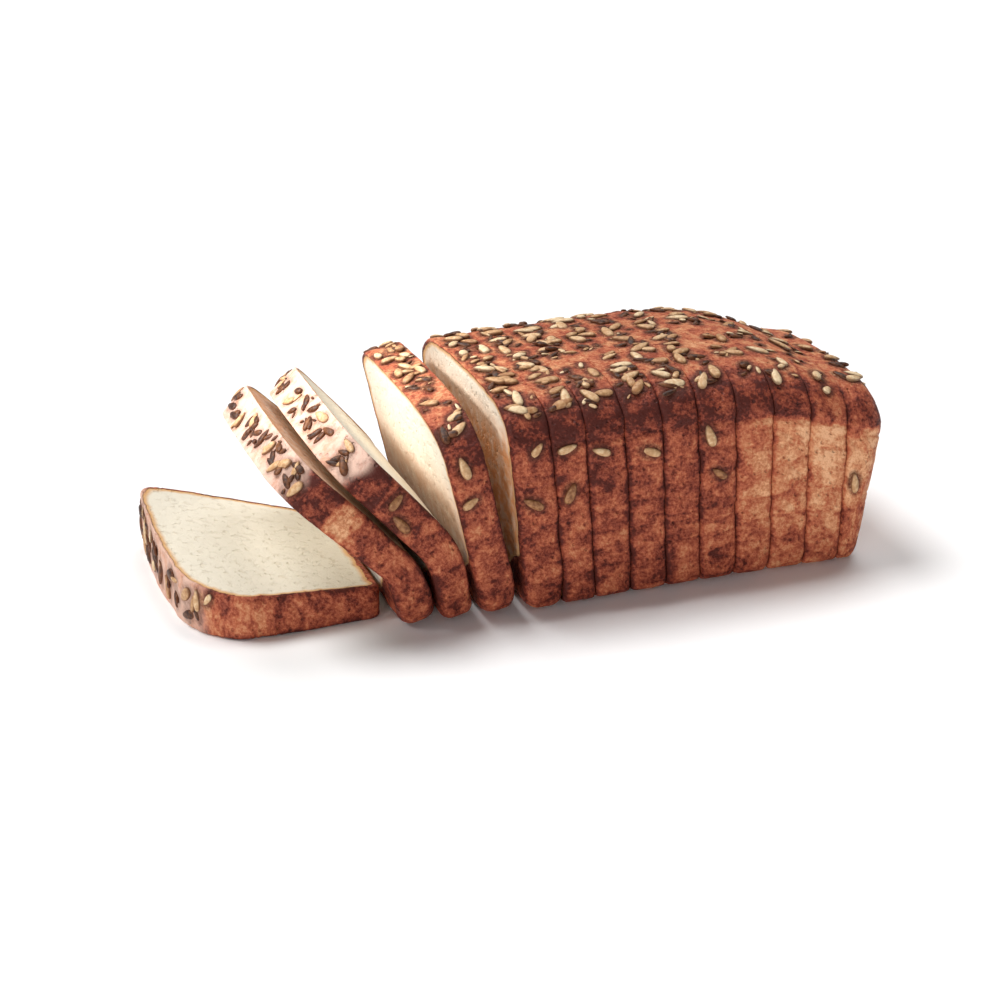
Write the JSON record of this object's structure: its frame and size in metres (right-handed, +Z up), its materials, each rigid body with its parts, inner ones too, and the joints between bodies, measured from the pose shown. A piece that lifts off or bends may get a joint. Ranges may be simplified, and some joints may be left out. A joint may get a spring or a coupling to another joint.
{
  "type": "sliced sunflower seed bread",
  "caption": "Tin loaf with seeds baked on its top, cut into slices: most still stand as the loaf, and the slices at one end have tipped over in a fan.",
  "frame": {"origin": "middle of the flat base of the fifth standing slice", "axes": "+X along the loaf towards its heel, +Y away from the side the viewer faces, +Z up"},
  "size_m": [0.2786, 0.1214, 0.0876],
  "materials": {
    "crust": "baked bread crust, reddish brown, matt with a faint sheen on the top",
    "crumb": "soft open bread crumb, cream, fully matt",
    "seed": "toasted sunflower kernels, beige with brown edges, satin"
  },
  "bodies": {
    "root": {"slice_01": "crust", "slice_02": "crust", "slice_03": "crust", "slice_04": "crust", "slice_05": "crust", "slice_06": "crust", "slice_07": "crust", "slice_08": "crust", "slice_09": "crust", "slice_10": "crust", "slice_11": "crust", "slice_12": "crust", "slice_13": "crust", "slice_14": "crust"}
  },
  "joints": []
}
